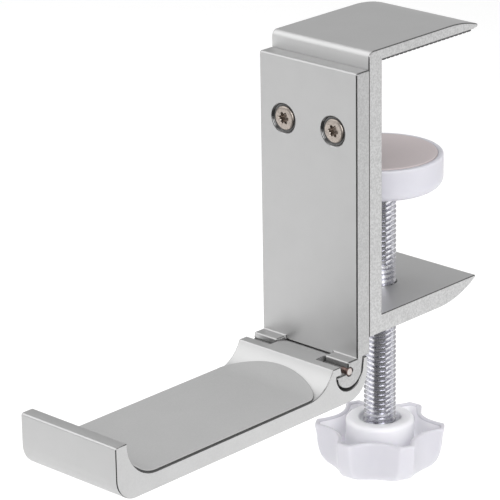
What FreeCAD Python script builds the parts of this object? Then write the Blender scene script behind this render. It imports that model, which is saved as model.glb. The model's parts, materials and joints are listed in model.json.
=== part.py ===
import FreeCAD, Part

"""Folding headphone hook on a screw clamp, in millimetres.

Frame: +Z up, X across the width, the arm reaches towards -Y, the clamp jaws towards +Y.
The origin is on the clamp screw's axis, at the height of the desk top that the top jaw rests on.
The hinge plate, pin, arm and arm pad are drawn about the hinge pin, whose place they get.
"""

import math
import os
import re

import Sketcher

SIZES = {
    # the clamp frame, a C shaped extrusion
    "width": 30.0,
    "frame_top": 3.1,
    "top_jaw_thick": 2.6,
    "top_curve_start": 8.0,
    "top_curve_radius": 32.0,
    "top_tip": 18.0,
    "top_tip_drop": 1.6,
    "tip_blunt": 0.7,
    "tip_bevel": 1.6,
    "frame_round": 1.5,
    "spine_inner": 16.6,
    "spine_thick": 4.6,
    "lower_jaw_top": 61.75,
    "lower_jaw_thick": 4.65,
    "lower_curve_start": 4.8,
    "lower_curve_radius": 25.0,
    "lower_tip": 18.3,
    "lower_tip_blunt": 0.55,
    "screw_bore_radius": 4.0,
    # the grip strip under the top jaw
    "strip_thick": 0.5,
    "strip_setback": 2.0,
    "strip_gap": 0.6,
    # the hinge pin's place and the plate that carries it
    "pin_back": 28.2,
    "pin_drop": 72.85,
    "pin_radius": 1.0,
    "pin_clearance": 0.04,
    "pin_recess": 0.05,
    "plate_thick": 4.3,
    "plate_face": 2.7,
    "plate_top": 71.85,
    "plate_round": 0.55,
    "shoulder": 2.35,
    "ledge_top": 2.4,
    "ledge_front": 0.5,
    "knuckle_radius": 4.4,
    "knuckle_round": 0.55,
    "relief_half": 3.95,
    "relief_radius": 4.75,
    "seat_gap": 0.25,
    "neck_lean": 0.35,
    "middle_half": 7.4,
    "side_gap": 0.25,
    # the two countersunk screws of the plate
    "fixing_offset": 7.67,
    "fixing_height": 56.75,
    "fixing_radius": 1.5,
    "fixing_length": 8.0,
    "fixing_head_radius": 2.95,
    "fixing_recess": 0.1,
    "counterbore_radius": 3.55,
    "counterbore_depth": 0.6,
    "clearance_radius": 1.6,
    "socket_lobe_radius": 0.42,
    "socket_core_radius": 1.05,
    "socket_depth": 1.4,
    # the arm
    "flat_top": 2.1,
    "saddle_drop": 0.85,
    "tray_top": 3.5,
    "arm_bottom": 7.65,
    "sweep_radius": 9.0,
    "sweep_foot": 14.1,
    "lip_foot": 63.9,
    "lip_outer": 76.4,
    "lip_top": 5.85,
    "lip_bevel": 0.5,
    "lip_round": 5.8,
    "heel_radius": 6.3,
    "heel_back": 6.25,
    "socket_radius": 4.65,
    "nose_back": 2.7,
    "slot_lean": 0.5,
    "tail_lean": 0.4,
    # the soft pad on the arm
    "arm_pad_radius": 8.3,
    "arm_pad_half": 14.7,
    "arm_pad_end": 5.93,
    "arm_pad_end_foot": 13.58,
    "arm_pad_climb": 60.0,
    "arm_pad_lip_climb": 52.0,
    # the clamp screw
    "screw_radius": 3.95,
    "screw_bottom": 106.0,
    "screw_point": 0.6,
    "neck_radius": 2.9,
    "neck_bottom": 36.45,
    "rivet_radius": 3.6,
    "rivet_thick": 0.8,
    # the pressure pad on the screw's upper end
    "pad_top": 28.75,
    "pad_radius": 15.2,
    "pad_height": 8.25,
    "pad_floor": 1.6,
    "pad_round": 2.4,
    "pad_mouth": 4.35,
    "pad_mouth_depth": 0.6,
    "pad_neck_hole": 3.1,
    "pad_hollow": 6.5,
    "grip_radius": 13.8,
    "grip_thick": 1.2,
    "grip_proud": 0.2,
    "washer_radius": 5.5,
    "washer_thick": 1.0,
    "washer_gap": 0.1,
    # the star knob and its threaded bush
    "hub_top": 97.35,
    "hub_radius": 8.4,
    "hub_round": 0.8,
    "hub_recess": 0.8,
    "hub_recess_radius": 5.2,
    "knob_rim": 99.45,
    "knob_bottom": 109.55,
    "knob_radius": 16.0,
    "knob_round": 3.6,
    "knob_lobe_turn": 36.0,
    "scallop_radius": 7.7,
    "scallop_depth": 3.8,
    "knob_wall": 1.4,
    "gutter_floor": 106.5,
    "bush_radius": 5.0,
    "bush_bottom": 107.0,
}

SOCKET_LOBES = 6
KNOB_LOBES = 6
ACROSS = FreeCAD.Rotation(FreeCAD.Vector(0, 1, 0), 90)
TO_BACK = FreeCAD.Rotation(FreeCAD.Vector(1, 0, 0), -90)

doc = FreeCAD.newDocument("headphone_hook")
sheet = doc.addObject("Spreadsheet::Sheet", "Sizes")
for row, (alias, value) in enumerate(SIZES.items(), start=1):
    sheet.set(f"A{row}", alias.replace("_", " "))
    sheet.set(f"B{row}", str(value))
    sheet.setAlias(f"B{row}", alias)
doc.recompute()

sub_parts = []


def formula(text):
    """An expression on the sheet: every word of it that is a size becomes a reference to its cell."""
    return re.sub(r"[a-z_]+", lambda word: f"Sizes.{word[0]}" if word[0] in SIZES else word[0], text)


def bind(thing, **formulas):
    """Ties properties to the sheet; a double underscore in a name stands for a dot."""
    for name, text in formulas.items():
        thing.setExpression(name.replace("__", "."), formula(text))


def put(thing, x="0", y="0", z="0", turn=None):
    """Places an object by formulas for its position and, if given, a fixed rotation."""
    if turn is not None:
        thing.Placement = FreeCAD.Placement(FreeCAD.Vector(), turn)
    bind(thing, Placement__Base__x=x, Placement__Base__y=y, Placement__Base__z=z)


def name_part(thing, label):
    thing.Label = label
    sub_parts.append(thing)
    return thing


def new_body(label):
    return name_part(doc.addObject("PartDesign::Body", label), label)


def origin_item(body, role):
    return next(item for item in body.Origin.OriginFeatures if item.Role == role)


def arc_middle(start, end, radius, outwards):
    """The middle of the shorter arc between two points; outwards bulges to the right of travel."""
    chord = end - start
    half = chord.Length / 2
    side = FreeCAD.Vector(chord.y, -chord.x, 0).normalize()
    bulge = radius - math.sqrt(max(radius**2 - half**2, 0.0))
    return (start + end) / 2 + side * (bulge if outwards else -bulge)


def outline(body, name, role, corners, shift="0"):
    """A closed sketch, anticlockwise, of (x, y) formula corners. A corner with a third item, the
    name of a radius and "out" or "in", goes on to the next corner by an arc of that radius."""
    sketch = body.newObject("Sketcher::SketchObject", name)
    sketch.AttachmentSupport = (origin_item(body, role), [""])
    sketch.MapMode = "FlatFace"
    bind(sketch, AttachmentOffset__Base__z=shift)
    for corner in corners:
        point = sketch.addGeometry(Part.Point(FreeCAD.Vector(0, 0, 0)), True)
        for axis, text in zip(("DistanceX", "DistanceY"), corner):
            index = sketch.addConstraint(Sketcher.Constraint(axis, point, 1, 0.0))
            sketch.setExpression(f"Constraints[{index}]", formula(text))
    doc.recompute()
    spots = [FreeCAD.Vector(spot.X, spot.Y, 0) for spot in sketch.Geometry]
    for here, corner in enumerate(corners):
        there = (here + 1) % len(corners)
        start, end = spots[here], spots[there]
        bend = corner[2].split() if len(corner) > 2 else None
        if bend is None:
            edge = Part.LineSegment(start, end)
        else:
            middle = arc_middle(start, end, SIZES[bend[0]], bend[1] == "out")
            edge = Part.Arc(start, middle, end)
        line = sketch.addGeometry(edge, False)
        ends = (1, 2) if (sketch.getPoint(line, 1) - start).Length < 1e-6 else (2, 1)
        sketch.addConstraint(Sketcher.Constraint("Coincident", line, ends[0], here, 1))
        sketch.addConstraint(Sketcher.Constraint("Coincident", line, ends[1], there, 1))
        if bend is not None:
            index = sketch.addConstraint(Sketcher.Constraint("Radius", line, SIZES[bend[0]]))
            sketch.setExpression(f"Constraints[{index}]", formula(bend[0]))
    doc.recompute()
    return sketch


def circles(body, name, role, radius, centres=(("0", "0"),), shift="0"):
    """A sketch of equal circles at formula centres."""
    sketch = body.newObject("Sketcher::SketchObject", name)
    sketch.AttachmentSupport = (origin_item(body, role), [""])
    sketch.MapMode = "FlatFace"
    bind(sketch, AttachmentOffset__Base__z=shift)
    for centre in centres:
        ring = sketch.addGeometry(
            Part.Circle(FreeCAD.Vector(0, 0, 0), FreeCAD.Vector(0, 0, 1), SIZES[radius]), False
        )
        index = sketch.addConstraint(Sketcher.Constraint("Radius", ring, SIZES[radius]))
        sketch.setExpression(f"Constraints[{index}]", formula(radius))
        for axis, text in zip(("DistanceX", "DistanceY"), centre):
            index = sketch.addConstraint(Sketcher.Constraint(axis, ring, 3, 0.0))
            sketch.setExpression(f"Constraints[{index}]", formula(text))
    doc.recompute()
    return sketch


def pad_across(body, sketch):
    """Extrudes a side profile over the whole width, evenly to both sides."""
    pad = body.newObject("PartDesign::Pad", sketch.Name + "_pad")
    pad.Profile = sketch
    pad.SideType = "Symmetric"
    bind(pad, Length="width")
    doc.recompute()
    return pad


def cut(body, sketch, length, both_ways=False, backwards=False):
    """Pockets a sketch by a length, and makes sure that it took material away."""
    before = body.Tip.Shape.Volume
    pocket = body.newObject("PartDesign::Pocket", sketch.Name + "_cut")
    pocket.Profile = sketch
    if both_ways:
        pocket.SideType = "Symmetric"
    pocket.Reversed = backwards
    bind(pocket, Length=length)
    doc.recompute()
    if not pocket.Shape.Volume < before - 1e-3:
        raise RuntimeError(f"{pocket.Name} cut nothing")
    return pocket


def mirror_across(body, feature):
    """Repeats a feature on the other side of the middle plane."""
    mirrored = body.newObject("PartDesign::Mirrored", feature.Name + "_twin")
    mirrored.Originals = [feature]
    mirrored.MirrorPlane = (origin_item(body, "YZ_Plane"), [""])
    body.Tip = mirrored
    doc.recompute()
    return mirrored


def revolve(body, sketch):
    turned = body.newObject("PartDesign::Revolution", sketch.Name + "_turned")
    turned.Profile = sketch
    turned.ReferenceAxis = (sketch, ["V_Axis"])
    turned.Angle = 360
    doc.recompute()
    return turned


def cylinder(name, radius, height, **place):
    made = doc.addObject("Part::Cylinder", name)
    bind(made, Radius=radius, Height=height)
    put(made, **place)
    return made


def cone(name, low_radius, high_radius, height, **place):
    made = doc.addObject("Part::Cone", name)
    bind(made, Radius1=low_radius, Radius2=high_radius, Height=height)
    put(made, **place)
    return made


def fuse(name, shapes):
    made = doc.addObject("Part::MultiFuse", name)
    made.Shapes = shapes
    doc.recompute()
    return made


def subtract(name, base, tool):
    made = doc.addObject("Part::Cut", name)
    made.Base = base
    made.Tool = tool
    doc.recompute()
    return made


def edge_at(shape, radius, height):
    """The number of the circular edge of a given radius at a given height."""
    for number, edge in enumerate(shape.Edges, start=1):
        circle = edge.Curve
        if not isinstance(circle, Part.Circle) or abs(circle.Radius - radius) > 1e-4:
            continue
        if abs(circle.Center.z - height) < 1e-4:
            return number
    raise RuntimeError(f"no circle of radius {radius} at {height}")


def round_edge(name, base, radius, height, rounding):
    """Rounds the circular edge of a given radius and height; the sizes are names on the sheet."""
    made = doc.addObject("Part::Fillet", name)
    made.Base = base
    size = SIZES[rounding]
    made.Edges = [(edge_at(base.Shape, SIZES[radius], height), size, size)]
    doc.recompute()
    return made


def at_pin(thing):
    put(thing, y="-pin_back", z="-pin_drop")
    return thing


def make_clamp_frame():
    """The C shaped extrusion: top jaw, spine and the lower jaw that the clamp screw runs in."""
    body = new_body("clamp_frame")
    front = "-(spine_inner + spine_thick)"
    underside = "frame_top - top_jaw_thick"
    foot = "-(lower_jaw_top + lower_jaw_thick)"
    corners = [
        ("top_curve_start", "frame_top"),
        (front + " + frame_round", "frame_top", "frame_round out"),
        (front, "frame_top - frame_round"),
        (front, foot),
        ("lower_curve_start", foot, "lower_curve_radius out"),
        ("lower_tip", "-lower_jaw_top - lower_tip_blunt"),
        ("lower_tip", "-lower_jaw_top"),
        ("-spine_inner", "-lower_jaw_top"),
        ("-spine_inner", underside),
        ("top_tip - tip_bevel", underside),
        ("top_tip", "frame_top - top_tip_drop - tip_blunt"),
        ("top_tip", "frame_top - top_tip_drop", "top_curve_radius out"),
    ]
    pad_across(body, outline(body, "frame_profile", "YZ_Plane", corners))
    bore = circles(body, "screw_bore", "XY_Plane", "screw_bore_radius")
    cut(body, bore, "lower_jaw_top + lower_jaw_thick + 1")
    height = "fixing_height - pin_drop"
    centres = (("fixing_offset", height), ("-fixing_offset", height))
    # the sketch's normal points to the front, so the holes go in from the spine's front face
    holes = circles(
        body, "fixing_holes", "XZ_Plane", "fixing_radius", centres, shift="spine_inner + spine_thick"
    )
    cut(body, holes, "fixing_length - plate_thick + fixing_recess")


def make_grip_strip():
    """The thin rubber strip under the top jaw, which lies on the desk."""
    strip = name_part(doc.addObject("Part::Box", "desk_grip_strip"), "desk_grip_strip")
    bind(strip, Length="width - 1", Height="strip_thick")
    bind(strip, Width="spine_inner + top_tip - strip_setback - strip_gap")
    put(strip, x="-(width - 1) / 2", y="strip_gap - spine_inner")


def make_hinge_plate():
    """The front plate; its lower end is two knuckles round the pin, with a notch between them."""
    body = doc.addObject("PartDesign::Body", "plate_blank")
    back = "plate_face + plate_thick"
    relief_drop = "-sqrt(knuckle_radius ^ 2 - relief_half ^ 2)"
    round_drop = "(seat_gap + knuckle_round)"
    corners = [
        (back, "plate_top"),
        ("plate_face + plate_round", "plate_top", "plate_round out"),
        ("plate_face", "plate_top - plate_round"),
        ("plate_face", "ledge_top"),
        ("-ledge_front", "ledge_top"),
        ("-ledge_front", "-seat_gap"),
        ("-(knuckle_radius - knuckle_round)", "-seat_gap", "knuckle_round out"),
        (f"-sqrt(knuckle_radius ^ 2 - {round_drop} ^ 2)", "-" + round_drop, "knuckle_radius out"),
        ("-relief_half", relief_drop, "relief_radius out"),
        ("relief_half", relief_drop, "knuckle_radius out"),
        ("knuckle_radius", "0"),
        ("knuckle_radius + neck_lean", "shoulder"),
        (back, "shoulder"),
    ]
    pad_across(body, outline(body, "plate_profile", "YZ_Plane", corners))
    deep = "-knuckle_radius - 1"
    # the notch leaves a lip of the plate's face, which reaches down to the saddle of the arm
    notch = [
        ("plate_face", "ledge_top + 1"),
        (deep, "ledge_top + 1"),
        (deep, deep),
        (back, deep),
        (back, "shoulder"),
        ("socket_radius - seat_gap", "shoulder"),
        ("plate_face", "flat_top - saddle_drop + seat_gap"),
    ]
    notch = outline(body, "notch", "YZ_Plane", notch)
    cut(body, notch, "2 * (middle_half + side_gap)", both_ways=True)
    cut(body, circles(body, "plate_pin_bore", "YZ_Plane", "pin_radius"), "width + 2", both_ways=True)
    place = {"y": "plate_face - pin_back", "z": "fixing_height - pin_drop", "turn": TO_BACK}
    tools = []
    sink_radius = "(fixing_head_radius + fixing_recess)"
    sink_depth = sink_radius + " - clearance_radius"
    for side, x in (("left", "-fixing_offset"), ("right", "fixing_offset")):
        tools += [
            cylinder(side + "_counterbore", "counterbore_radius", "counterbore_depth", x=x, **place),
            cone(side + "_sink", sink_radius, "clearance_radius", sink_depth, x=x, **place),
            cylinder(side + "_clearance", "clearance_radius", "plate_thick + 1", x=x, **place),
        ]
    at_pin(body)
    name_part(subtract("hinge_plate_drilled", body, fuse("plate_holes", tools)), "hinge_plate")


def make_plate_screw(side, x):
    """A countersunk screw with a six-lobed socket. Its head stands in a shallow counterbore, on
    the cone below it, just short of the plate's face."""
    face = "(plate_face + fixing_recess - pin_back)"
    place = {"x": x, "z": "fixing_height - pin_drop", "turn": TO_BACK}
    head = cone(
        side + "_head",
        "fixing_head_radius",
        "fixing_radius",
        "fixing_head_radius - fixing_radius",
        y=face,
        **place,
    )
    shank = cylinder(side + "_shank", "fixing_radius", "fixing_length", y=face, **place)
    lobes = [cylinder(side + "_socket_core", "socket_core_radius", "socket_depth", y=face, **place)]
    for number in range(SOCKET_LOBES):
        lobe = doc.addObject("Part::Cylinder", f"{side}_socket_lobe_{number}")
        bind(lobe, Radius="socket_lobe_radius", Height="socket_depth")
        angle = number * 360 / SOCKET_LOBES
        around = f"{x} + socket_core_radius * cos({angle})"
        above = f"fixing_height - pin_drop + socket_core_radius * sin({angle})"
        put(lobe, x=around, y=face, z=above, turn=TO_BACK)
        lobes.append(lobe)
    screw = subtract(
        side + "_screw", fuse(side + "_blank", [head, shank]), fuse(side + "_socket", lobes)
    )
    name_part(screw, "plate_screw_" + side)


def make_hinge_pin():
    """The steel pin through both knuckles of the plate and the arm's middle knuckle."""
    pin = name_part(doc.addObject("Part::Cylinder", "hinge_pin"), "hinge_pin")
    bind(pin, Radius="pin_radius", Height="width - 2 * pin_recess")
    put(pin, x="pin_recess - width / 2", y="-pin_back", z="-pin_drop", turn=ACROSS)


def make_hook_arm():
    """The arm: a lip, a flat tray, a sweep up to the hinge and a heel that wraps round behind it.
    Its middle is solid round the pin, with a saddle on top for the plate's edge; both sides are
    hollowed for the plate's knuckles."""
    body = doc.addObject("PartDesign::Body", "arm_blank")
    wall_rise = "(sweep_radius - tray_top - flat_top)"
    wall_front = f"-sweep_foot + sqrt(sweep_radius ^ 2 - {wall_rise} ^ 2)"
    lip_inner = "-(lip_foot + sweep_radius)"
    corners = [
        ("heel_back", "flat_top"),
        ("socket_radius", "flat_top"),
        ("plate_face + seat_gap", "flat_top - saddle_drop"),
        ("-ledge_front", "flat_top"),
        (wall_front, "flat_top", "sweep_radius in"),
        ("-sweep_foot", "-tray_top"),
        ("-lip_foot", "-tray_top", "sweep_radius in"),
        (lip_inner, "sweep_radius - tray_top"),
        (lip_inner, "lip_top"),
        ("-lip_outer + lip_bevel", "lip_top"),
        ("-lip_outer", "lip_top - lip_bevel"),
        ("-lip_outer", "-arm_bottom + lip_round", "lip_round out"),
        ("-lip_outer + lip_round", "-arm_bottom"),
        ("heel_back - heel_radius", "-arm_bottom", "heel_radius out"),
        ("heel_back", "-arm_bottom + heel_radius"),
    ]
    pad_across(body, outline(body, "arm_profile", "YZ_Plane", corners))
    above = "flat_top + 1"
    hollow = [
        ("socket_radius + tail_lean * (flat_top + 1) / flat_top", above),
        ("-nose_back - slot_lean * (flat_top + 1) / flat_top", above),
        ("-nose_back", "0"),
        ("-socket_radius", "0", "socket_radius out"),
        ("0", "-socket_radius", "socket_radius out"),
        ("socket_radius", "0"),
    ]
    side = outline(body, "knuckle_hollow", "YZ_Plane", hollow, shift="middle_half")
    mirror_across(body, cut(body, side, "width / 2 - middle_half + 1", backwards=True))
    bore = doc.addObject("Part::Cylinder", "arm_pin_bore")
    bind(bore, Radius="pin_radius + pin_clearance", Height="width")
    put(bore, x="-width / 2", y="-pin_back", z="-pin_drop", turn=ACROSS)
    at_pin(body)
    name_part(subtract("hook_arm_bored", body, bore), "hook_arm")


def make_arm_pad():
    """The soft pad on the tray. It follows the sweep up to an elliptical end and climbs the lip."""
    body = doc.addObject("PartDesign::Body", "pad_strip")
    centre = "sweep_radius - tray_top"
    corners = [
        (
            "-sweep_foot + arm_pad_radius * sin(arm_pad_climb)",
            f"{centre} - arm_pad_radius * cos(arm_pad_climb)",
            "arm_pad_radius in",
        ),
        ("-sweep_foot", f"{centre} - arm_pad_radius"),
        ("-lip_foot", f"{centre} - arm_pad_radius", "arm_pad_radius in"),
        (
            "-lip_foot - arm_pad_radius * sin(arm_pad_lip_climb)",
            f"{centre} - arm_pad_radius * cos(arm_pad_lip_climb)",
        ),
        (
            "-lip_foot - sweep_radius * sin(arm_pad_lip_climb)",
            f"{centre} - sweep_radius * cos(arm_pad_lip_climb)",
            "sweep_radius out",
        ),
        ("-lip_foot", "-tray_top"),
        ("-sweep_foot", "-tray_top", "sweep_radius out"),
        (
            "-sweep_foot + sweep_radius * sin(arm_pad_climb)",
            f"{centre} - sweep_radius * cos(arm_pad_climb)",
        ),
    ]
    pad_across(body, outline(body, "pad_profile", "YZ_Plane", corners))
    at_pin(body)
    ellipse = doc.addObject("Part::Ellipse", "pad_end_ellipse")
    bind(ellipse, MajorRadius="arm_pad_half", MinorRadius="arm_pad_end")
    low = "-pin_drop - arm_bottom"
    put(ellipse, y="-pin_back - arm_pad_end_foot", z=low)
    end = doc.addObject("Part::Extrusion", "pad_end")
    end.Base = ellipse
    end.Dir = FreeCAD.Vector(0, 0, 1)
    end.Solid = True
    bind(end, LengthFwd="arm_bottom + 2 * sweep_radius")
    sides = doc.addObject("Part::Box", "pad_sides")
    reach = "lip_foot + sweep_radius - arm_pad_end_foot"
    bind(sides, Length="2 * arm_pad_half", Width=reach, Height="arm_bottom + 2 * sweep_radius")
    put(sides, x="-arm_pad_half", y="-pin_back - lip_foot - sweep_radius", z=low)
    doc.recompute()
    made = doc.addObject("Part::Common", "arm_pad")
    made.Base = body
    made.Tool = fuse("pad_plan", [end, sides])
    name_part(made, "arm_pad")


def make_clamp_screw():
    """The threaded rod, drawn at its crest diameter, with a riveted neck that holds the pad."""
    body = new_body("clamp_screw")
    rivet_foot = "-pad_top - pad_height + pad_floor + washer_gap + washer_thick"
    corners = [
        ("0", "-screw_bottom"),
        ("screw_radius - screw_point", "-screw_bottom"),
        ("screw_radius", "-screw_bottom + screw_point"),
        ("screw_radius", "-neck_bottom"),
        ("neck_radius", "-neck_bottom"),
        ("neck_radius", rivet_foot),
        ("rivet_radius", rivet_foot),
        ("rivet_radius", rivet_foot + " + rivet_thick"),
        ("0", rivet_foot + " + rivet_thick"),
    ]
    revolve(body, outline(body, "screw_profile", "YZ_Plane", corners))


def make_pressure_pad():
    """The plastic disc that the screw pushes up, hollow round the rivet and open above for its grip."""
    body = new_body("pressure_pad")
    bottom = "-pad_top - pad_height"
    rim = "-pad_top - grip_proud"
    seat = "-pad_top - grip_thick"
    corners = [
        ("pad_mouth", bottom),
        ("pad_radius - pad_round", bottom, "pad_round out"),
        ("pad_radius", bottom + " + pad_round"),
        ("pad_radius", rim),
        ("grip_radius", rim),
        ("grip_radius", seat),
        ("pad_hollow", seat),
        ("pad_hollow", bottom + " + pad_floor"),
        ("pad_neck_hole", bottom + " + pad_floor"),
        ("pad_neck_hole", bottom + " + pad_mouth_depth"),
        ("pad_mouth", bottom + " + pad_mouth_depth"),
    ]
    revolve(body, outline(body, "pressure_pad_profile", "YZ_Plane", corners))


def make_pressure_pad_grip():
    """The soft disc let into the pressure pad, just proud of its rim."""
    grip = cylinder("pressure_pad_grip", "grip_radius", "grip_thick", z="-pad_top - grip_thick")
    name_part(grip, "pressure_pad_grip")


def make_washer():
    """The washer under the rivet, which keeps the pressure pad on the screw."""
    low = "-pad_top - pad_height + pad_floor + washer_gap"
    disc = cylinder("washer_disc", "washer_radius", "washer_thick", z=low)
    hole = cylinder("washer_hole", "neck_radius", "washer_thick", z=low)
    name_part(subtract("washer", disc, hole), "pad_retaining_washer")


def make_bush():
    """The threaded bush moulded into the knob, which the rod is fixed in."""
    tall = "bush_bottom - hub_top - hub_recess"
    blank = cylinder("bush_blank", "bush_radius", tall, z="-bush_bottom")
    bore = cylinder("bush_bore", "screw_radius", "screw_bottom - hub_top - hub_recess", z="-screw_bottom")
    name_part(subtract("bush", blank, bore), "knob_bush")


def ring_of_scallops(name, radius):
    """Upright cylinders round the knob, midway between its lobes."""
    away = "(knob_radius - scallop_depth + scallop_radius)"
    made = []
    for number in range(KNOB_LOBES):
        turn = f"(knob_lobe_turn + {(number + 0.5) * 360 / KNOB_LOBES})"
        tall = "knob_bottom - hub_top + 2"
        x, y = f"{away} * cos{turn}", f"{away} * sin{turn}"
        made.append(cylinder(f"{name}_{number}", radius, tall, x=x, y=y, z="-knob_bottom - 1"))
    return fuse(name, made)


def make_star_knob():
    """The moulded knob: a thin scalloped wall, an open gutter and a raised hub round the screw."""
    drum = cylinder("knob_drum", "knob_radius", "knob_bottom - knob_rim", z="-knob_bottom")
    doc.recompute()
    drum = round_edge("knob_foot", drum, "knob_radius", -SIZES["knob_bottom"], "knob_round")
    star = subtract("knob_star", drum, ring_of_scallops("scallops", "scallop_radius"))
    deep = "gutter_floor - hub_top + 1"
    inside = cylinder("gutter_drum", "knob_radius - knob_wall", deep, z="-gutter_floor")
    walls = ring_of_scallops("scallop_walls", "scallop_radius + knob_wall")
    gutter = subtract("gutter", inside, walls)
    hub = cylinder("hub", "hub_radius", "gutter_floor - hub_top", z="-gutter_floor")
    doc.recompute()
    hub = round_edge("hub_rounded", hub, "hub_radius", -SIZES["hub_top"], "hub_round")
    shell = fuse("knob_shell", [subtract("knob_hollow", star, gutter), hub])
    bore = cylinder("knob_bore", "bush_radius", "bush_bottom - hub_top", z="-bush_bottom")
    recess = cylinder("knob_recess", "hub_recess_radius", "hub_recess + 1", z="-hub_top - hub_recess")
    name_part(subtract("knob", shell, fuse("knob_bores", [bore, recess])), "star_knob")


def check_document():
    """Stops if any object failed or any sub-part isn't one whole solid."""
    doc.recompute()
    for thing in doc.Objects:
        if {"Invalid", "Error"} & set(thing.State):
            raise RuntimeError(f"{thing.Name} failed: {thing.State}")
    for part in sub_parts:
        if part.Shape.isNull() or not part.Shape.isValid() or len(part.Shape.Solids) != 1:
            raise RuntimeError(f"{part.Label} isn't one valid solid")


def write_parts():
    os.makedirs("parts", exist_ok=True)
    for part in sub_parts:
        part.Shape.exportStep(f"parts/{part.Label}.step")


make_clamp_frame()
make_grip_strip()
make_hinge_plate()
make_plate_screw("left", "-fixing_offset")
make_plate_screw("right", "fixing_offset")
make_hinge_pin()
make_hook_arm()
make_arm_pad()
make_clamp_screw()
make_pressure_pad()
make_pressure_pad_grip()
make_washer()
make_bush()
make_star_knob()
check_document()
write_parts()
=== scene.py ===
"""The looks of a folding headphone hook on a screw clamp. Metres, in the frame of the CAD model.

The aluminium, the hinge pin, the pressure pad, the washer and the bush are the CAD nodes with
softened edges and materials. The threaded clamp screw, the plate screws, the star knob and the
rubber parts are built here in place of their plain CAD nodes.
"""

import json
import math

import bmesh
import bpy
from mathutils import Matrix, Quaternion, Vector


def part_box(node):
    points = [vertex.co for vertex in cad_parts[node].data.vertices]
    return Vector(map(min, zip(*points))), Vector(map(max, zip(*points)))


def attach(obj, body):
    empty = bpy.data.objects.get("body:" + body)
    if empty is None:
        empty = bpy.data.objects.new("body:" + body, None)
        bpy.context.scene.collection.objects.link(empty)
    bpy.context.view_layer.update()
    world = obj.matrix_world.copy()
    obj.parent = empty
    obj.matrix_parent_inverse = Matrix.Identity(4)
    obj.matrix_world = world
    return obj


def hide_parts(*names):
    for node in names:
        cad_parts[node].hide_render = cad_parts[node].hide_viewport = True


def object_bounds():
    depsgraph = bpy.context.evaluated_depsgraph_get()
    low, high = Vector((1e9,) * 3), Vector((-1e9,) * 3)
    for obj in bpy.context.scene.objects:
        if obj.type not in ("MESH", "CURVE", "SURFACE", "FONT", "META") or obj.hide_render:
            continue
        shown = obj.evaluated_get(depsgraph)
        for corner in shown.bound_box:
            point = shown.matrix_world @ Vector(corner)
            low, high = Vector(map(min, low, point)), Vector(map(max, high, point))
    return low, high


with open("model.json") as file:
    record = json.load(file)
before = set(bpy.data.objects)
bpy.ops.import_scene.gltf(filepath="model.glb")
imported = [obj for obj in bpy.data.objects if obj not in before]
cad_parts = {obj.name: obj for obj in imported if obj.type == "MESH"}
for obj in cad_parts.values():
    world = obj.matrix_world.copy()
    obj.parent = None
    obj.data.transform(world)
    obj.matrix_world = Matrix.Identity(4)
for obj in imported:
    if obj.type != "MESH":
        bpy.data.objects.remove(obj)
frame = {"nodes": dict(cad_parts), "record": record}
NODES = frame["nodes"]
RECORD = frame["record"]
CAD_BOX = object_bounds()

MM = 0.001

# the camera of the portrait
CAMERA_AZIMUTH = math.radians(43.3526)
CAMERA_ELEVATION = math.radians(20.0423)
CAMERA_ROLL = math.radians(0.8898)
CAMERA_DISTANCE = 683.1 * MM
CAMERA_LENS = 211.48
CAMERA_AIM = Vector((-6.363, -38.892, -44.688)) * MM

# the studio
FLOOR_DROP = 150 * MM
FLOOR_SIDE = 8.0
FLOOR_GLOW = 0.15
MAT_SPREAD = math.radians(58)
MAT_REACH = (0.12, 1.4)

# widths of the softened edges of the CAD nodes, in millimetres
EDGES = {
    "clamp_frame": 0.32,
    "hinge_plate": 0.36,
    "hook_arm": 0.24,
    "hinge_pin": 0.15,
    "pressure_pad": 0.45,
    "pad_retaining_washer": 0.1,
    "knob_bush": 0.15,
}

# the arm's tray, as the soft pad follows it
TRAY_BEND = 9.0 * MM
SWEEP_FOOT = 14.1 * MM
LIP_FOOT = 63.9 * MM
PAD_THICK = 0.7 * MM
# thickness of the dark layer that paints the shadow line under the pad's rim
PAD_SHADOW_LAYER = 0.36 * MM
PAD_ROUND = 0.22 * MM
PAD_CORNER = 3.5 * MM
PAD_END_FOOT = 13.58 * MM
PAD_END_DEPTH = 5.93 * MM

# the plate screws
SOCKET_LOBES = 6
SOCKET_CORE = 1.05 * MM
SOCKET_LOBE = 0.42 * MM
SOCKET_DEPTH = 1.4 * MM
SCREW_EDGE = 0.6 * MM
SCREW_SHANK = 1.5 * MM
COUNTERBORE_RADIUS = 3.55 * MM
PLATE_SCREWS = ("plate_screw_left", "plate_screw_right")

# the star knob
KNOB_LOBES = 6
KNOB_LOBE_TURN = math.radians(36)
SCALLOP_RADIUS = 7.7 * MM
SCALLOP_AWAY = 19.9 * MM
KNOB_RADIUS = 15.98 * MM
KNOB_BLEND = 3.0 * MM
KNOB_DRAFT = 0.45 * MM
KNOB_FOOT_START = 5.15 * MM
KNOB_BASE = 12.2 * MM
KNOB_RIM_DROP = 2.1 * MM
KNOB_WALL = 1.15 * MM
GUTTER_FLOOR = -106.5 * MM
HUB_RADIUS = 8.4 * MM
HUB_ROUND = 1.1 * MM
RECESS_RADIUS = 5.2 * MM
RECESS_DEPTH = 0.8 * MM
BUSH_RADIUS = 5.0 * MM

# the clamp screw, with its thread's section as shares of the pitch and whether each is at the crest
THREAD_STEPS = 40
THREAD_DEPTH = 0.77 * MM
THREAD_SECTION = ((0.0, False), (0.22, False), (0.43, True), (0.57, True), (0.78, False))
THREAD_END_SUNK = 0.4 * MM
THREAD_RUNOUT = 1.2
CORE_SUNK = 0.3 * MM
NECK_RADIUS = 2.9 * MM
NECK_START = 36.45 * MM
RIVET_RADIUS = 3.6 * MM
RIVET_THICK = 0.8 * MM
RIVET_ROUND = 0.4 * MM

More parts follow.
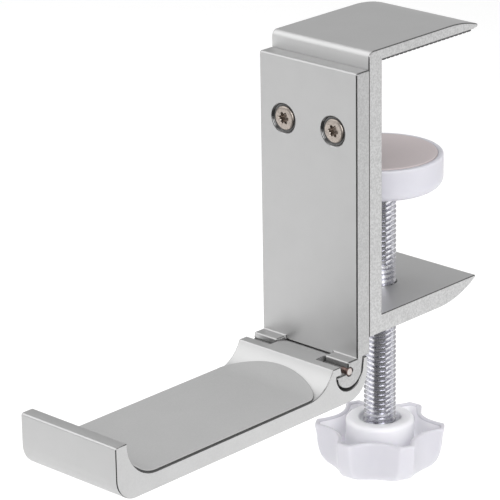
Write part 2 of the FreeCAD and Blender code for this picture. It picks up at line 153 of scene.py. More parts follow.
# the soft lights: name, direction from the object, distance, size and power
LIGHTS = (
    ("key", (-0.645, -0.46, 0.60), 1.3, (1.5, 1.5), 8.5),
    ("fill", (0.9, -0.5, 0.5), 1.6, (1.2, 1.2), 16),
    ("overhead", (0.1, 0.1, 1.0), 1.8, (1.6, 1.6), 12),
)
SKY = 0.50


# ---------------------------------------------------------------- node trees


def new_material(name):
    """A material, its node tree, its Principled shader and the socket of its object coordinates."""
    material = bpy.data.materials.new(name)
    material.use_nodes = True
    tree = material.node_tree
    shader = tree.nodes["Principled BSDF"]
    place = tree.nodes.new("ShaderNodeTexCoord")
    return material, tree, shader, place.outputs["Object"]


def vector_math(tree, operation, vector, value=None):
    """A vector operation on a socket, with a fixed second vector where the operation takes one."""
    node = tree.nodes.new("ShaderNodeVectorMath")
    node.operation = operation
    tree.links.new(vector, node.inputs[0])
    if value is not None:
        node.inputs[1].default_value = value
    return node.outputs["Value" if operation == "LENGTH" else "Vector"]


def axis_part(tree, vector, axis):
    """One coordinate of a vector socket."""
    parts = tree.nodes.new("ShaderNodeSeparateXYZ")
    tree.links.new(vector, parts.inputs[0])
    return parts.outputs[axis]


def off_axis(tree, place, middle, across):
    """The distance from an axis through middle. across is 1 in the two directions square to it."""
    offset = vector_math(tree, "SUBTRACT", place, middle)
    return vector_math(tree, "LENGTH", vector_math(tree, "MULTIPLY", offset, across))


def noise(tree, vector, size, detail=2.0):
    """Noise whose grains are about size metres across."""
    scaled = vector_math(tree, "MULTIPLY", vector, (1 / size, 1 / size, 1 / size))
    texture = tree.nodes.new("ShaderNodeTexNoise")
    texture.inputs["Scale"].default_value = 1.0
    texture.inputs["Detail"].default_value = detail
    tree.links.new(scaled, texture.inputs["Vector"])
    return texture.outputs["Fac"]


def spread(tree, value, low, high, from_low=0.3, from_high=0.7):
    """The value moved from its usual spread to low ... high."""
    node = tree.nodes.new("ShaderNodeMapRange")
    node.inputs["From Min"].default_value = from_low
    node.inputs["From Max"].default_value = from_high
    node.inputs["To Min"].default_value = low
    node.inputs["To Max"].default_value = high
    tree.links.new(value, node.inputs["Value"])
    return node.outputs["Result"]


def mix_colours(tree, amount, first, second):
    """A colour between two, by amount. Each is a colour or a socket."""
    node = tree.nodes.new("ShaderNodeMix")
    node.data_type = "RGBA"
    for name, colour in (("A", first), ("B", second)):
        socket = [s for s in node.inputs if s.name == name and s.type == "RGBA"][0]
        if isinstance(colour, bpy.types.NodeSocket):
            tree.links.new(colour, socket)
        else:
            socket.default_value = (*colour, 1)
    tree.links.new(amount, node.inputs["Factor"])
    return [s for s in node.outputs if s.type == "RGBA"][0]


def add_bumps(tree, shader, layers):
    """Bumps on the shader's normal, from (height socket, depth in metres) layers."""
    last = None
    for height, depth in layers:
        bump = tree.nodes.new("ShaderNodeBump")
        bump.inputs["Distance"].default_value = depth
        tree.links.new(height, bump.inputs["Height"])
        if last is not None:
            tree.links.new(last, bump.inputs["Normal"])
        last = bump.outputs["Normal"]
    tree.links.new(last, shader.inputs["Normal"])


def grey(value):
    """A neutral linear colour."""
    return (value, value, value)


def across_amount(tree):
    """How far a face looks along X: 1 on the sawn ends of an extrusion and 0 on its long faces."""
    place = tree.nodes.new("ShaderNodeTexCoord")
    size = tree.nodes.new("ShaderNodeMath")
    size.operation = "ABSOLUTE"
    tree.links.new(axis_part(tree, place.outputs["Normal"], "X"), size.inputs[0])
    return size.outputs[0]


def multiply(tree, first, second):
    """The product of two numbers, each a socket or a fixed one."""
    node = tree.nodes.new("ShaderNodeMath")
    node.operation = "MULTIPLY"
    for socket, value in zip(node.inputs, (first, second)):
        if isinstance(value, bpy.types.NodeSocket):
            tree.links.new(value, socket)
        else:
            socket.default_value = value
    return node.outputs[0]


def counterbore_shade_amount(tree, place, screw):
    """Where the painted shade goes: 1 in the counterbore round a screw's head, behind the plate's
    face, and 0 elsewhere.
    """
    low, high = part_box(screw)
    radius = off_axis(tree, place, (low + high) / 2, (1, 0, 1))
    depth = axis_part(tree, place, "Y")
    edge = COUNTERBORE_RADIUS + 0.2 * MM
    within = spread(tree, radius, 1, 0, COUNTERBORE_RADIUS, edge)
    behind = spread(tree, depth, 0, 1, low.y - 0.06 * MM, low.y + 0.12 * MM)
    return multiply(tree, within, behind)


# ---------------------------------------------------------------- materials


def anodised_aluminium(name, lightness, end_lightness, end_grain, rough=0.45, screws=()):
    """Bead-blasted, clear anodised aluminium: a fine even grain, a coarser one on the sawn ends,
    where end_grain is its strength, smooth chamfers between the two painted dark as a painted
    reflection, and painted shade in the counterbores round the named screws."""
    material, tree, shader, place = new_material(name)
    grain = noise(tree, place, 0.22 * MM, detail=1.5)
    coarse = noise(tree, place, 0.4 * MM, detail=1.5)
    cloud = noise(tree, place, 6 * MM, detail=3)
    across = across_amount(tree)
    ends = spread(tree, across, 0, 1, 0.8, 0.95)
    past_face = spread(tree, across, 0, 1, 0.05, 0.2)
    before_end = spread(tree, across, 1, 0, 0.9, 0.98)
    chamfer = multiply(tree, past_face, before_end)
    dark, light = grey(lightness * 0.955), grey(lightness * 1.03)
    faces = mix_colours(tree, spread(tree, grain, 0.25, 0.75), dark, light)
    sawn_dark, sawn_light = grey(end_lightness - end_grain), grey(end_lightness + end_grain)
    sawn = mix_colours(tree, spread(tree, coarse, 0, 1, 0.36, 0.64), sawn_dark, sawn_light)
    blasted = mix_colours(tree, ends, faces, sawn)
    clouded = mix_colours(tree, spread(tree, cloud, 0, 0.12), blasted, grey(lightness * 0.8))
    # painted reflection: the chamfers between the long faces and the sawn ends get a much darker
    # colour, standing in for the dark surroundings they mirror
    painted_dark_edge = mix_colours(tree, grain, grey(lightness * 0.55), grey(lightness * 0.35))
    coloured = mix_colours(tree, chamfer, clouded, painted_dark_edge)
    # painted shade: the counterbore round each named screw's head is coloured near black, standing
    # in for the shade in the gap round the head
    for screw in screws:
        shade = mix_colours(tree, grain, grey(0.10), grey(0.16))
        coloured = mix_colours(tree, counterbore_shade_amount(tree, place, screw), coloured, shade)
    tree.links.new(coloured, shader.inputs["Base Color"])
    blast = spread(tree, grain, rough - 0.05, rough + 0.05)
    smooth = spread(tree, chamfer, 1, 0.3, 0, 1)
    tree.links.new(multiply(tree, blast, smooth), shader.inputs["Roughness"])
    shader.inputs["Metallic"].default_value = 1.0
    saw_marks = multiply(tree, coarse, ends)
    add_bumps(tree, shader, [(grain, 0.012 * MM), (saw_marks, 0.1 * end_grain * MM)])
    return material


def bright_metal(name, colour, shade, rough, grain_size=0.5 * MM):
    """Plated or polished steel with faint marks."""
    material, tree, shader, place = new_material(name)
    marks = noise(tree, place, grain_size, detail=4)
    colours = mix_colours(tree, spread(tree, marks, 0, 1), colour, shade)
    tree.links.new(colours, shader.inputs["Base Color"])
    tree.links.new(spread(tree, marks, rough * 0.8, rough * 1.3), shader.inputs["Roughness"])
    shader.inputs["Metallic"].default_value = 1.0
    add_bumps(tree, shader, [(marks, 0.006 * MM)])
    return material


def moulded_plastic(name, colour, shade, rough):
    """Semi-gloss moulded plastic with a fine orange-peel surface."""
    material, tree, shader, place = new_material(name)
    peel = noise(tree, place, 0.9 * MM, detail=3)
    cloud = noise(tree, place, 9 * MM, detail=2)
    colours = mix_colours(tree, spread(tree, cloud, 0, 1), colour, shade)
    tree.links.new(colours, shader.inputs["Base Color"])
    tree.links.new(spread(tree, peel, rough * 0.85, rough * 1.15), shader.inputs["Roughness"])
    shader.inputs["Subsurface Weight"].default_value = 0.7
    shader.inputs["Subsurface Radius"].default_value = (1.0, 0.95, 1.0)
    shader.inputs["Subsurface Scale"].default_value = 2.5 * MM
    add_bumps(tree, shader, [(peel, 0.008 * MM)])
    return material


def soft_rubber(name, colour, shade, rough):
    """Matt silicone rubber with a fine grain."""
    material, tree, shader, place = new_material(name)
    grain = noise(tree, place, 0.25 * MM, detail=2)
    cloud = noise(tree, place, 7 * MM, detail=3)
    speckle = mix_colours(tree, spread(tree, grain, 0, 0.5), colour, shade)
    clouded = mix_colours(tree, spread(tree, cloud, 0, 0.35), speckle, shade)
    tree.links.new(clouded, shader.inputs["Base Color"])
    tree.links.new(spread(tree, grain, rough * 0.9, rough * 1.1), shader.inputs["Roughness"])
    shader.inputs["Sheen Weight"].default_value = 0.08
    add_bumps(tree, shader, [(grain, 0.02 * MM)])
    return material


def pin_steel(name):
    """A steel pin: pale in the middle of its ends, tarnished brown round their edge and just behind
    the right one, and dark along its length."""
    material, tree, shader, place = new_material(name)
    low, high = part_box("hinge_pin")
    edge = (high.y - low.y) / 2
    middle = (low + high) / 2
    radius = off_axis(tree, place, middle, (0, 1, 1))
    along = axis_part(tree, vector_math(tree, "SUBTRACT", place, middle), "X")
    marks = noise(tree, place, 0.3 * MM, detail=4)
    patches = noise(tree, place, 0.5 * MM, detail=2)
    pale = mix_colours(tree, spread(tree, marks, 0, 1), (0.70, 0.66, 0.64), (0.55, 0.49, 0.46))
    brown = mix_colours(tree, spread(tree, patches, 0, 1), (0.24, 0.16, 0.14), (0.10, 0.07, 0.065))
    dark = mix_colours(tree, spread(tree, marks, 0, 1), grey(0.16), grey(0.08))
    near_end = spread(tree, along, 0, 1, high.x - 2.5 * MM, high.x - 1.5 * MM)
    shaft = mix_colours(tree, near_end, dark, brown)
    tarnish = spread(tree, radius, 0, 1, edge * 0.72, edge * 0.88)
    tree.links.new(mix_colours(tree, tarnish, pale, shaft), shader.inputs["Base Color"])
    tree.links.new(spread(tree, marks, 0.35, 0.5), shader.inputs["Roughness"])
    shader.inputs["Metallic"].default_value = 1.0
    add_bumps(tree, shader, [(marks, 0.006 * MM)])
    return material


MATERIALS = {
    "aluminium_frame": anodised_aluminium("anodised_frame", 0.59, 0.62, 0.07, 0.48),
    "aluminium_plate": anodised_aluminium("anodised_plate", 0.52, 0.545, 0.05, screws=PLATE_SCREWS),
    "aluminium_arm": anodised_aluminium("anodised_arm", 0.555, 0.63, 0.012),
    "zinc_plated_steel": bright_metal(
        "zinc_plated_thread", (0.90, 0.90, 0.94), (0.55, 0.55, 0.58), 0.2
    ),
    "zinc_plated_washer": bright_metal(
        "zinc_plated_washer", (0.66, 0.67, 0.70), (0.5, 0.51, 0.54), 0.25
    ),
    "stainless_screws": bright_metal(
        "stainless_screw", (0.45, 0.40, 0.36), (0.33, 0.29, 0.26), 0.3, 0.3 * MM
    ),
    "steel_pin": pin_steel("steel_pin"),
    "steel_bush": bright_metal("steel_bush", (0.80, 0.80, 0.84), (0.62, 0.62, 0.66), 0.4),
    "white_plastic_pad": moulded_plastic(
        "white_pad_plastic", (0.60, 0.595, 0.64), (0.575, 0.57, 0.62), 0.38
    ),
    "white_plastic_knob": moulded_plastic(
        "white_knob_plastic", (0.595, 0.59, 0.63), (0.575, 0.57, 0.61), 0.38
    ),
    # painted light: a much lighter copy of the knob's plastic for the gutter and the hub, standing
    # in for the light their shade keeps out
    "knob_inside_painted_light": moulded_plastic(
        "knob_inside_painted_light", (0.90, 0.895, 0.94), (0.88, 0.875, 0.92), 0.4
    ),
    "pad_silicone": soft_rubber(
        "mauve_grey_silicone", (0.57, 0.505, 0.51), (0.51, 0.455, 0.46), 0.6
    ),
    "arm_silicone": soft_rubber("grey_silicone", grey(0.362), grey(0.325), 0.55),
    "strip_rubber": soft_rubber("dark_rubber", grey(0.06), grey(0.04), 0.7),
}


# ---------------------------------------------------------------- CAD nodes


def soften(node, width):
    """Rounds the sharp edges of a CAD node by modifiers, which leave its mesh as it is."""
    piece = NODES[node]
    weld = piece.modifiers.new("weld", "WELD")
    weld.merge_threshold = 0.002 * MM
    flat = piece.modifiers.new("flat_faces", "DECIMATE")
    flat.decimate_type = "DISSOLVE"
    flat.angle_limit = math.radians(0.6)
    bevel = piece.modifiers.new("soft_edges", "BEVEL")
    bevel.width = width * MM
    bevel.segments = 3
    bevel.use_clamp_overlap = False
    bevel.limit_method = "ANGLE"
    bevel.angle_limit = math.radians(50)
    bevel.harden_normals = False
    normals = piece.modifiers.new("even_normals", "WEIGHTED_NORMAL")
    normals.weight = 100
    normals.keep_sharp = False


def paint(node, slot_name):
    """Puts a material on every slot of a CAD node."""
    mesh = NODES[node].data
    if not mesh.materials:
        mesh.materials.append(None)
    for index in range(len(mesh.materials)):
        mesh.materials[index] = MATERIALS[slot_name]


def dress_cad_nodes():
    """Gives every CAD node its material, and the visible ones their softened edges."""
    for part in RECORD["subparts"]:
        paint(part["node"], part["material_slot"])
    for node, width in EDGES.items():
        soften(node, width)


# ---------------------------------------------------------------- built pieces


def new_piece(name, mesh, body, slot_name, *nodes, smooth_angle=40):
    """A finished piece in its body, in place of CAD nodes."""
    piece = bpy.data.objects.new(name, mesh)
    bpy.context.scene.collection.objects.link(piece)
    mesh.materials.append(MATERIALS[slot_name])
    mesh.polygons.foreach_set("use_smooth", [True] * len(mesh.polygons))
    mesh.set_sharp_from_angle(angle=math.radians(smooth_angle))
    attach(piece, body)
    if nodes:
        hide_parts(*nodes)
    return piece


def mesh_from(name, corners, faces):
    """A mesh with doubled corners merged and all faces looking outwards."""
    mesh = bpy.data.meshes.new(name)
    mesh.from_pydata(corners, [], faces)
    cleaner = bmesh.new()
    cleaner.from_mesh(mesh)
    bmesh.ops.remove_doubles(cleaner, verts=cleaner.verts, dist=1e-7)
    bmesh.ops.recalc_face_normals(cleaner, faces=cleaner.faces)
    cleaner.to_mesh(mesh)
    cleaner.free()
    return mesh


def join_rings(faces, start, rings, steps):
    """Adds the faces between rings of corners that follow each other from start."""
    for ring in range(rings - 1):
        low = start + ring * steps
        high = low + steps
        for step in range(steps):
            after = (step + 1) % steps
            faces.append((low + step, low + after, high + after, high + step))


def lathe(outline, corners, faces, steps=64):
    """Adds a solid turned about the Z axis to corners and faces. outline is (radius, z) pairs."""
    start = len(corners)
    for radius, z in outline:
        for step in range(steps):
            angle = 2 * math.pi * step / steps
            corners.append((radius * math.cos(angle), radius * math.sin(angle), z))
    join_rings(faces, start, len(outline), steps)


def quarter(centre_r, centre_z, radius, start, end, count=5):
    """Points of an arc in a lathe outline, by angles in degrees from the outward direction."""
    points = []
    for step in range(count + 1):
        angle = math.radians(start + (end - start) * step / count)
        points.append((centre_r + radius * math.cos(angle), centre_z + radius * math.sin(angle)))
    return points


def make_clamp_screw():
    """The clamp screw: a right-hand metric thread on a core, with the pad's neck and rivet."""
    low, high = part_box("clamp_screw")
    coupling = RECORD["behaviour"]["couplings"][0]
    pitch = 2 * math.pi / coupling["ratio"]
    crest = high.x
    root = crest - THREAD_DEPTH
    bottom, top = low.z, -NECK_START
    turns = math.ceil((top - bottom) / pitch) + 2
    corners, faces = [], []
    count = len(THREAD_SECTION)
    total = turns * THREAD_STEPS
    for step in range(total + 1):
        angle = 2 * math.pi * step / THREAD_STEPS
        for share, at_crest in THREAD_SECTION:
            z = bottom + (step / THREAD_STEPS - 1 + share) * pitch
            z = min(max(z, bottom), top)
            sunk = root - THREAD_END_SUNK
            cap = sunk + min(z - bottom, top - z) * THREAD_RUNOUT
            near = max(min(crest if at_crest else root, cap), sunk)
            corners.append((near * math.cos(angle), near * math.sin(angle), z))
    for step in range(total):
        for index in range(count):
            here, there = step * count + index, (step + 1) * count + index
            if index < count - 1:
                faces.append((here, there, there + 1, here + 1))
            elif step + THREAD_STEPS + 1 <= total:
                up = (step + THREAD_STEPS) * count
                faces.append((here, there, up + count, up))
    core = root - CORE_SUNK
    under = high.z - RIVET_THICK
    outline = [(0, bottom), (core, bottom), (core, top), (NECK_RADIUS, top)]
    outline += [(NECK_RADIUS, under), (RIVET_RADIUS, under)]
    outline += quarter(RIVET_RADIUS - RIVET_ROUND, high.z - RIVET_ROUND, RIVET_ROUND, 0, 90, 3)
    outline.append((0, high.z))
    lathe(outline, corners, faces)
    name = "clamp_screw_threaded"
    mesh = mesh_from(name, corners, faces)
    new_piece(name, mesh, "screw", "zinc_plated_steel", "clamp_screw", smooth_angle=25)


def socket_radius(angle):
    """The contour of a six-lobed socket, from its middle."""
    step = 2 * math.pi / SOCKET_LOBES
    past = (angle + step / 2) % step - step / 2
    beside = SOCKET_CORE * math.sin(past)
    if abs(beside) >= SOCKET_LOBE:
        return SOCKET_CORE
    return max(SOCKET_CORE, SOCKET_CORE * math.cos(past) + math.sqrt(SOCKET_LOBE**2 - beside**2))


def make_plate_screw(side):
    """A countersunk screw with a rounded head edge and a six-lobed socket, facing the front."""
    node = "plate_screw_" + side
    low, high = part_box(node)
    middle = (low + high) / 2
    head = high.x - middle.x
    rows = [(0.0, SOCKET_DEPTH + 0.3 * MM), ("socket", SOCKET_DEPTH), ("socket", 0.12 * MM)]
    rows.append(("chamfer", 0.0))
    rows += [(SOCKET_CORE + SOCKET_LOBE + 0.3 * MM, 0.0), (head - SCREW_EDGE, 0.0)]
    for step in range(1, 6):
        turn = math.radians(135) * step / 5
        out, down = math.sin(turn), 1 - math.cos(turn)
        rows.append((head - SCREW_EDGE + SCREW_EDGE * 0.9 * out, SCREW_EDGE * 0.55 * down))
    cone = head - SCREW_SHANK
    rows += [(SCREW_SHANK, cone), (SCREW_SHANK, high.y - low.y), (0.0, high.y - low.y)]
    steps = 120
    corners, faces = [], []
    for radius, depth in rows:
        for step in range(steps):
            angle = 2 * math.pi * step / steps
            near = radius
            if radius == "socket":
                near = socket_radius(angle)
            elif radius == "chamfer":
                near = socket_radius(angle) + 0.1 * MM
            x, z = middle.x + near * math.cos(angle), middle.z + near * math.sin(angle)
            corners.append((x, low.y + depth, z))
    join_rings(faces, 0, len(rows), steps)
    mesh = mesh_from(node + "_turned", corners, faces)
    new_piece(node + "_turned", mesh, "frame", "stainless_screws", node, smooth_angle=35)


def make_pad_grip():
    """The soft disc let into the pressure pad, with a rounded rim."""
    low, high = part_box("pressure_pad_grip")
    round_off = 0.35 * MM
    radius = high.x
    outline = [(0, low.z), (radius, low.z)]
    outline += quarter(radius - round_off, high.z - round_off, round_off, 0, 90)
    outline += [(radius * share, high.z) for share in (0.9, 0.75, 0.5, 0.25)]
    outline.append((0, high.z))
    corners, faces = [], []
    lathe(outline, corners, faces, steps=96)
    mesh = mesh_from("pad_grip_disc", corners, faces)
    piece = new_piece("pad_grip_disc", mesh, "press", "pad_silicone", "pressure_pad_grip")


def make_strip():
    """The thin rubber strip under the top jaw, with shallow ribs across it."""
    low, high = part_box("desk_grip_strip")
    rib_pitch = 1.5 * MM
    rib_depth = 0.12 * MM
    count = round((high.y - low.y) / rib_pitch)
    step = (high.y - low.y) / count
    section = [(low.y, high.z), (low.y, low.z + rib_depth)]
    for index in range(count):
        start = low.y + index * step
        section += [(start + 0.12 * step, low.z), (start + 0.75 * step, low.z)]
        if index < count - 1:
            section += [(start + 0.82 * step, low.z + rib_depth), (start + step, low.z + rib_depth)]
    section += [(high.y, low.z + rib_depth), (high.y, high.z)]
    corners = [(x, y, z) for x in (low.x, high.x) for y, z in section]
    count = len(section)
    faces = [(i, (i + 1) % count, count + (i + 1) % count, count + i) for i in range(count)]
    faces += [tuple(range(count)), tuple(range(count, 2 * count))]
    name = "ribbed_strip"
    mesh = mesh_from(name, corners, faces)
    piece = new_piece(name, mesh, "frame", "strip_rubber", "desk_grip_strip", smooth_angle=20)


def tray_point(x, s, lift, pin, tray_top):
    """A point of the arm pad: across, along the tray from the sweep's foot, and above the tray."""
    flat = LIP_FOOT - SWEEP_FOOT
    centre_z = tray_top + TRAY_BEND
    if s > 0:
        angle = s / TRAY_BEND
        y = pin.y - SWEEP_FOOT + (TRAY_BEND - lift) * math.sin(angle)
        return (x, y, centre_z - (TRAY_BEND - lift) * math.cos(angle))
    if s > -flat:
        return (x, pin.y - SWEEP_FOOT + s, tray_top + lift)
    angle = (-s - flat) / TRAY_BEND
    y = pin.y - LIP_FOOT - (TRAY_BEND - lift) * math.sin(angle)
    return (x, y, centre_z - (TRAY_BEND - lift) * math.cos(angle))


def pad_outline(half, lip_s):
    """The right half of the arm pad's flat outline, (x, s) with its outward direction, from the
    hinge end, which is a half ellipse as seen from straight above."""
    points = []
    for step in range(33):
        angle = math.pi / 2 * (1 - step / 32)
        beyond = SWEEP_FOOT - PAD_END_FOOT + PAD_END_DEPTH * math.sin(angle)
        climb = TRAY_BEND * math.asin(beyond / (TRAY_BEND - PAD_THICK))
        points.append(Vector((half * math.cos(angle), climb)))
    start = points[-1].y
    low = lip_s + PAD_CORNER
    side_steps = 70
    for step in range(1, side_steps):
        points.append(Vector((half, start + (low - start) * step / side_steps)))
    for step in range(13):
        angle = math.pi / 2 * step / 12
        across, along = PAD_CORNER * math.cos(angle), PAD_CORNER * math.sin(angle)
        points.append(Vector((half - PAD_CORNER + across, low - along)))
    points.append(Vector((0, lip_s)))
    outwards = [Vector((0, 1))]
    for before, after in zip(points, points[2:]):
        travel = (after - before).normalized()
        outwards.append(Vector((-travel.y, travel.x)))
    outwards.append(Vector((0, -1)))
    return list(zip(points, outwards))


def make_pad_layer(name, slot_name, low_lift, high_lift, round_off, inset):
    """One layer of the arm pad: a sheet that bends up the sweep and the lip, with a rounded rim."""
    low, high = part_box("arm_pad")
    pin_low, pin_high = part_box("hinge_pin")
    pin = (pin_low + pin_high) / 2
    tray_top = low.z
    lip_angle = math.asin(((pin.y - LIP_FOOT) - low.y) / TRAY_BEND)
    lip_s = -(LIP_FOOT - SWEEP_FOOT) - lip_angle * TRAY_BEND
    outline = pad_outline(high.x, lip_s)
    rims = [(inset, low_lift), (inset, high_lift - round_off)]
    for step in range(1, 5):
        angle = math.pi / 2 * step / 4
        inward = inset + round_off * (1 - math.cos(angle))
        rims.append((inward, high_lift - round_off * (1 - math.sin(angle))))
    corners, faces = [], []
    rows = len(outline)
    for side in (1, -1):
        for inward, lift in rims:
            for point, out in outline:
                spot = point - out * inward
                corners.append(tray_point(side * spot.x, spot.y, lift, pin, tray_top))
    for side in range(2):
        for rim in range(len(rims) - 1):
            first = (side * len(rims) + rim) * rows
            second = first + rows
            for index in range(rows - 1):
                faces.append((first + index, first + index + 1, second + index + 1, second + index))
    across = 12
    for inward, lift in (rims[0], rims[-1]):
        start = len(corners)
        for point, out in outline:
            spot = point - out * inward
            for column in range(across + 1):
                share = 1 - 2 * column / across
                corners.append(tray_point(spot.x * share, spot.y, lift, pin, tray_top))
        for index in range(rows - 1):
            for column in range(across):
                here = start + index * (across + 1) + column
                faces.append((here, here + 1, here + across + 2, here + across + 1))
    mesh = mesh_from(name, corners, faces)
    return new_piece(name, mesh, "arm", slot_name, "arm_pad", smooth_angle=50)


def make_arm_pad():
    """The arm pad: a grey silicone sheet on a thin, set-in dark layer, a painted shadow line under
    the sheet's rim.
    """
    cushion = make_pad_layer("arm_cushion", "arm_silicone", PAD_SHADOW_LAYER, PAD_THICK, PAD_ROUND, 0.0)
    # painted shadow: the dark layer, set in under the sheet's rim, stands in for the shadow line
    # beneath it
    make_pad_layer("arm_pad_shadow_layer", "strip_rubber", 0.0, PAD_SHADOW_LAYER, 0.05 * MM, 0.15 * MM)


def smooth_min(first, second, blend):
    """The smaller of two numbers, with a soft change from one to the other."""
    share = max(blend - abs(first - second), 0) / blend
    return min(first, second) - share * share * blend / 4


def star_radius(angle, drum, wall):
    """The star's contour: a drum with scallops, set in by the thickness of the wall."""
    step = 2 * math.pi / KNOB_LOBES
    past = (angle - KNOB_LOBE_TURN) % step - step / 2
    beside = SCALLOP_AWAY * math.sin(past)
    scallop = SCALLOP_RADIUS + wall
    if abs(beside) >= scallop:
        return drum - wall
    dent = SCALLOP_AWAY * math.cos(past) - math.sqrt(scallop**2 - beside**2)
    return smooth_min(drum - wall, dent, KNOB_BLEND)


def knob_rows(low, high):
    """Rows of the knob's skin from the middle of its underside to its bore: the radius is a number,
    or a drum radius and a wall for the star's contour."""
    foot_top = high.z - KNOB_FOOT_START
    drum = KNOB_RADIUS - KNOB_DRAFT
    rows = [(0.0, low.z), (0.5 * KNOB_BASE, low.z), (0.92 * KNOB_BASE, low.z)]
    for step in range(13):
        rise = math.pi / 2 * step / 12
        radius = KNOB_BASE + (drum - KNOB_BASE) * math.sin(rise)
        rows.append(((radius, 0.0), foot_top - (foot_top - low.z) * math.cos(rise)))
    rim = high.z - KNOB_RIM_DROP
    round_off = KNOB_WALL / 2
    for share in (0.33, 0.67):
        z = foot_top + (rim - round_off - foot_top) * share
        rows.append(((drum + KNOB_DRAFT * share, 0.0), z))
    for step in range(9):
        turn = math.pi * step / 8
        inward = round_off * (1 - math.cos(turn))
        rows.append(((KNOB_RADIUS, inward), rim - round_off * (1 - math.sin(turn))))
    for share in (0.35, 0.7, 0.93):
        z = rim - (rim - GUTTER_FLOOR) * share
        rows.append(((KNOB_RADIUS - KNOB_DRAFT * share, KNOB_WALL), z))
    rows.append(((KNOB_RADIUS - KNOB_DRAFT, KNOB_WALL + 0.5 * MM), GUTTER_FLOOR))
    rows.append((HUB_RADIUS + 0.9 * MM, GUTTER_FLOOR))
    rows.append((HUB_RADIUS + 0.25 * MM, GUTTER_FLOOR + 0.6 * MM))
    rows += [(HUB_RADIUS, high.z - 4 * MM), (HUB_RADIUS, high.z - 2 * MM)]
    rows += quarter(HUB_RADIUS - HUB_ROUND, high.z - HUB_ROUND, HUB_ROUND, 0, 90, 6)
    rows += quarter(RECESS_RADIUS + 0.3 * MM, high.z - 0.3 * MM, 0.3 * MM, 90, 180, 4)
    rows += [(RECESS_RADIUS, high.z - RECESS_DEPTH), (BUSH_RADIUS, high.z - RECESS_DEPTH)]
    rows.append((BUSH_RADIUS, low.z + 2.5 * MM))
    return rows


def make_star_knob():
    """The star knob: a scalloped wall on a bowl-shaped foot, an open gutter and a rounded hub, the
    gutter and hub in a lighter copy of the plastic as painted light.
    """
    low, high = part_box("star_knob")
    steps = 240
    corners, faces = [], []
    rows = knob_rows(low, high)
    for radius, z in rows:
        for step in range(steps):
            angle = 2 * math.pi * step / steps
            near = star_radius(angle, *radius) if isinstance(radius, tuple) else radius
            corners.append((near * math.cos(angle), near * math.sin(angle), z))
    join_rings(faces, 0, len(rows), steps)
    mesh = mesh_from("moulded_knob", corners, faces)
    new_piece("moulded_knob", mesh, "screw", "white_plastic_knob", "star_knob", smooth_angle=50)
    # painted light: the gutter's walls and floor and the hub take the lighter copy of the plastic
    mesh.materials.append(MATERIALS["knob_inside_painted_light"])
    rim = high.z - KNOB_RIM_DROP
    for face in mesh.polygons:
        centre = face.center
        outside = math.hypot(face.normal.x, face.normal.y) > 0.7 and centre.dot(face.normal) > 0
        within = GUTTER_FLOOR - 0.1 * MM < centre.z < rim - 0.5 * MM
        if within and face.normal.z > -0.1 and not outside:
            face.material_index = 1
        if centre.xy.length < HUB_RADIUS + 1 * MM and centre.z > GUTTER_FLOOR - 0.1 * MM:
            face.material_index = 1


# ---------------------------------------------------------------- studio


def floor_material():
    """A matt pale floor with a slight glow of its own."""
    material, tree, shader, place = new_material("pale_floor")
    cloud = noise(tree, place, 0.4, detail=2)
    colours = mix_colours(tree, spread(tree, cloud, 0, 1), grey(0.95), grey(0.93))
    tree.links.new(colours, shader.inputs["Base Color"])
    shader.inputs["Roughness"].default_value = 1.0
    shader.inputs["Specular IOR Level"].default_value = 0.0
    shader.inputs["Emission Color"].default_value = (1, 1, 1, 1)
    shader.inputs["Emission Strength"].default_value = FLOOR_GLOW
    return material


def lay_sheet(name, corners, faces, material):
    """A flat sheet of the studio."""
    mesh = bpy.data.meshes.new(name)
    mesh.from_pydata(corners, [], faces)
    mesh.materials.append(material)
    sheet = bpy.data.objects.new(name, mesh)
    bpy.context.scene.collection.objects.link(sheet)
    return sheet


def make_floor():
    """The pale floor, some way under the object."""
    half = FLOOR_SIDE / 2
    z = CAD_BOX[0].z - FLOOR_DROP
    corners = [(-half, -half, z), (half, -half, z), (half, half, z), (-half, half, z)]
    floor = lay_sheet("floor", corners, [(0, 1, 2, 3)], floor_material())


def aim(thing, place, target):
    """Puts a lamp at a place and points it at the target."""
    thing.location = place
    thing.rotation_euler = (Vector(target) - Vector(place)).to_track_quat("-Z", "Y").to_euler()


def softbox(name, direction, distance, size, power):
    """A square soft light at a distance from the middle of the object."""
    lamp = bpy.data.lights.new(name, "AREA")
    lamp.shape = "RECTANGLE"
    lamp.size, lamp.size_y = size
    lamp.energy = power
    thing = bpy.data.objects.new(name, lamp)
    bpy.context.scene.collection.objects.link(thing)
    centre = (CAD_BOX[0] + CAD_BOX[1]) / 2
    aim(thing, centre + Vector(direction).normalized() * distance, centre)


def make_sky():
    """An even grey surrounding, which the metal mirrors."""
    world = bpy.data.worlds.new("studio")
    bpy.context.scene.world = world
    world.use_nodes = True
    background = world.node_tree.nodes["Background"]
    background.inputs["Color"].default_value = (SKY, SKY, SKY, 1)
    background.inputs["Strength"].default_value = 1.0


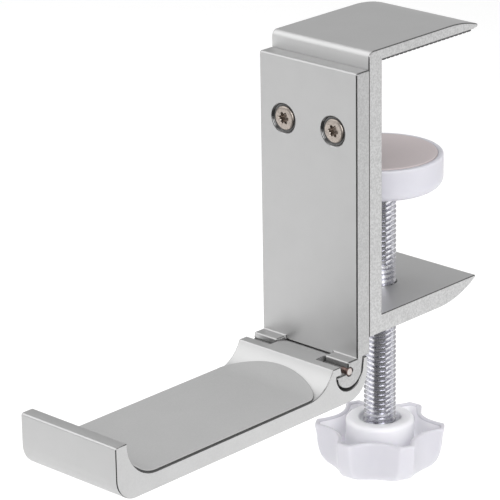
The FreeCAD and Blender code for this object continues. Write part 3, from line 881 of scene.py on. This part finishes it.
def make_camera():
    """The portrait camera, turned about its own axis by the roll."""
    level = math.cos(CAMERA_ELEVATION)
    across, along = math.sin(CAMERA_AZIMUTH) * level, -math.cos(CAMERA_AZIMUTH) * level
    back = Vector((across, along, math.sin(CAMERA_ELEVATION)))
    lens = bpy.data.cameras.new("camera")
    lens.lens = CAMERA_LENS
    lens.sensor_width = 36
    lens.clip_start = 0.01
    lens.clip_end = 50
    camera = bpy.data.objects.new("camera", lens)
    bpy.context.scene.collection.objects.link(camera)
    camera.rotation_mode = "QUATERNION"
    roll = Quaternion(-back, CAMERA_ROLL)
    camera.rotation_quaternion = roll @ (-back).to_track_quat("-Z", "Y")
    camera.location = CAMERA_AIM + back * CAMERA_DISTANCE
    bpy.context.scene.camera = camera


def mat_material():
    """Dark woven cloth."""
    material, tree, shader, place = new_material("black_mat")
    weave = noise(tree, place, 5 * MM, detail=2)
    colours = mix_colours(tree, spread(tree, weave, 0, 1), grey(0.07), grey(0.11))
    tree.links.new(colours, shader.inputs["Base Color"])
    shader.inputs["Roughness"].default_value = 1.0
    return material


def make_dark_mat():
    """A dark mat on the floor before the object, which only the metal's mirror shows."""
    centre = (CAD_BOX[0] + CAD_BOX[1]) / 2
    z = CAD_BOX[0].z - FLOOR_DROP + 1 * MM
    corners, faces = [], []
    steps = 24
    for step in range(steps + 1):
        angle = CAMERA_AZIMUTH - math.pi / 2 + MAT_SPREAD * (2 * step / steps - 1)
        for reach in MAT_REACH:
            x = centre.x + reach * math.cos(angle)
            corners.append((x, centre.y + reach * math.sin(angle), z))
    for step in range(steps):
        faces.append((2 * step, 2 * step + 1, 2 * step + 3, 2 * step + 2))
    mat = lay_sheet("dark_mat", corners, faces, mat_material())
    mat.visible_camera = False
    mat.visible_shadow = False
    mat.visible_diffuse = False


def make_studio():
    """The floor, the mat, the surroundings and the soft lights."""
    make_floor()
    make_dark_mat()
    make_sky()
    for light in LIGHTS:
        softbox(*light)
    bpy.context.scene.view_settings.view_transform = "Standard"


dress_cad_nodes()
make_clamp_screw()
make_plate_screw("left")
make_plate_screw("right")
make_pad_grip()
make_strip()
make_arm_pad()
make_star_knob()
make_studio()
make_camera()
